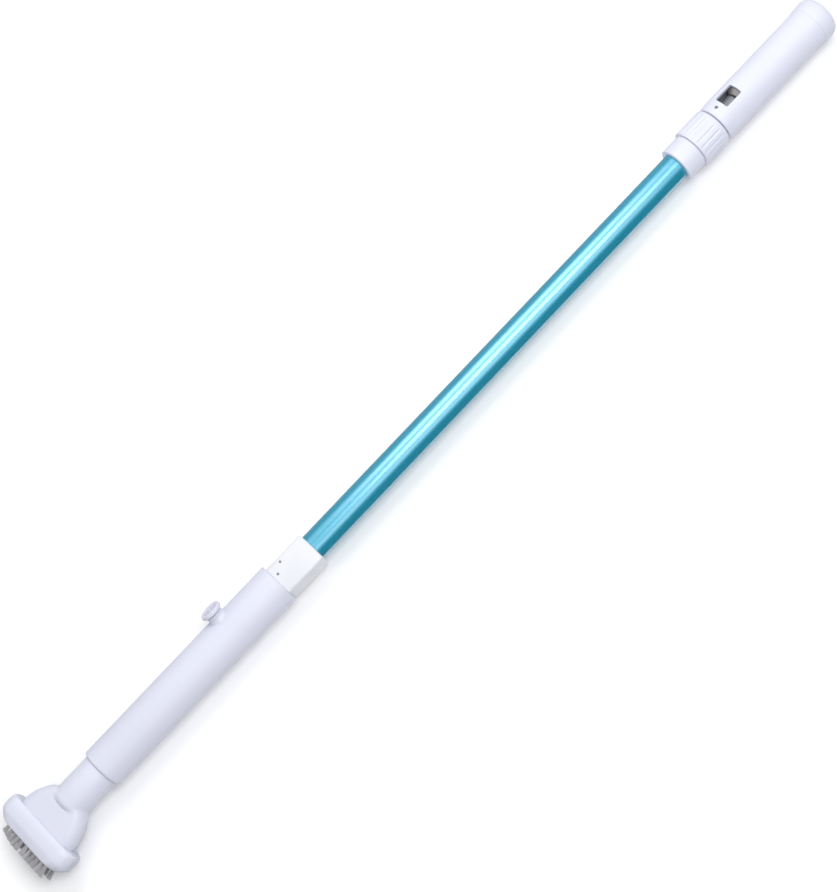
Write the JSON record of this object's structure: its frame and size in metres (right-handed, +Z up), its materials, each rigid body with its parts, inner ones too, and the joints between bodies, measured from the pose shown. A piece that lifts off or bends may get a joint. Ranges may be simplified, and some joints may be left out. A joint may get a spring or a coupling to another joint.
{
  "type": "pool wall brush",
  "caption": "Hand-pump pool and spa wand with a bristled suction head, white filter canister, side drain cap, blue tube, twist lock and sliding handle.",
  "frame": {"origin": "on the surface that the wand lies on, below the middle of its bounding box", "axes": "+X along the wand from the brush to the handle, +Z up out of the flat face of the brush head"},
  "size_m": [1.143, 0.09, 0.0518],
  "materials": {
    "white_plastic": "satin",
    "block_plastic": "gloss",
    "blue_anodised": "polished anodised",
    "grey_aluminium": "satin",
    "bristle_nylon": "matte",
    "black_rubber": "matte",
    "grey_rubber": "matte",
    "steel": "satin",
    "ivory_plastic": "matte",
    "screen_mesh": "woven"
  },
  "bodies": {
    "wand": {"canister": "white_plastic", "filter_basket": "ivory_plastic", "filter_screen": "screen_mesh", "valve_block": "block_plastic", "block_seal": "grey_rubber", "valve_seat": "ivory_plastic", "flap_pin": "steel", "block_screws": "steel", "tube_seal": "grey_rubber", "outer_tube": "blue_anodised", "lock_collar": "white_plastic", "guide_bush": "ivory_plastic", "collet": "ivory_plastic"},
    "neck_ring": {"neck_seal": "grey_rubber"},
    "nozzle": {"nozzle_hood": "white_plastic"},
    "brush": {"brush_frame": "white_plastic", "front_tufts": "bristle_nylon", "back_tufts": "bristle_nylon"},
    "drain_ring": {"drain_gasket": "grey_rubber"},
    "drain_plug": {"drain_cap": "white_plastic"},
    "foot_flap": {"valve_flap": "black_rubber", "flap_plate": "steel"},
    "nut_ring": {"nut_washer": "steel"},
    "lock_nut": {"lock_nut": "white_plastic"},
    "piston_ring": {"piston_seal": "black_rubber"},
    "pump_handle": {"inner_tube": "grey_aluminium", "piston": "ivory_plastic", "piston_hub": "ivory_plastic", "handle_grip": "white_plastic", "handle_screws": "steel", "outlet_plug": "ivory_plastic", "end_cap": "white_plastic"},
    "piston_valve": {"valve_disc": "black_rubber"}
  },
  "joints": [
    {"name": "handle_slide", "type": "slide", "parent": "wand", "child": "piston_ring", "axis": [1, 0, 0], "range_m": [0, 0.45]},
    {"name": "handle_turn", "type": "hinge", "parent": "piston_ring", "child": "pump_handle", "pos_m": [-0.1715, 0, 0.023], "axis": [1, 0, 0], "continuous": true},
    {"name": "piston_valve_lift", "type": "slide", "parent": "pump_handle", "child": "piston_valve", "axis": [1, 0, 0], "range_m": [0, 0.0035]},
    {"name": "foot_valve_swing", "type": "hinge", "parent": "wand", "child": "foot_flap", "pos_m": [-0.2087, 0, 0.0336], "axis": [0, -1, 0], "range_deg": [0, 55]},
    {"name": "nozzle_pull", "type": "slide", "parent": "wand", "child": "neck_ring", "axis": [-1, 0, 0], "range_m": [0, 0.03]},
    {"name": "nozzle_turn", "type": "hinge", "parent": "neck_ring", "child": "nozzle", "pos_m": [-0.4475, 0, 0.023], "axis": [1, 0, 0], "continuous": true},
    {"name": "brush_clip", "type": "slide", "parent": "nozzle", "child": "brush", "axis": [-1, 0, 0], "range_m": [0, 0.03]},
    {"name": "drain_lift", "type": "slide", "parent": "wand", "child": "drain_ring", "axis": [0, 0.788, 0.6157], "range_m": [0, 0.0075]},
    {"name": "drain_turn", "type": "hinge", "parent": "drain_ring", "child": "drain_plug", "pos_m": [-0.2812, 0.02191, 0.04011], "axis": [0, 0.788, 0.6157], "range_deg": [0, 900]},
    {"name": "nut_loosen", "type": "slide", "parent": "wand", "child": "nut_ring", "axis": [1, 0, 0], "range_m": [0, 0.0008]},
    {"name": "nut_turn", "type": "hinge", "parent": "nut_ring", "child": "lock_nut", "pos_m": [0.3965, 0, 0.023], "axis": [1, 0, 0], "range_deg": [0, 115]}
  ],
  "couplings": [
    {"joint": "drain_turn", "follows": "drain_lift", "rad_per_m": 2094.4},
    {"joint": "nut_loosen", "follows": "nut_turn", "m_per_rad": 0.00039858}
  ]
}
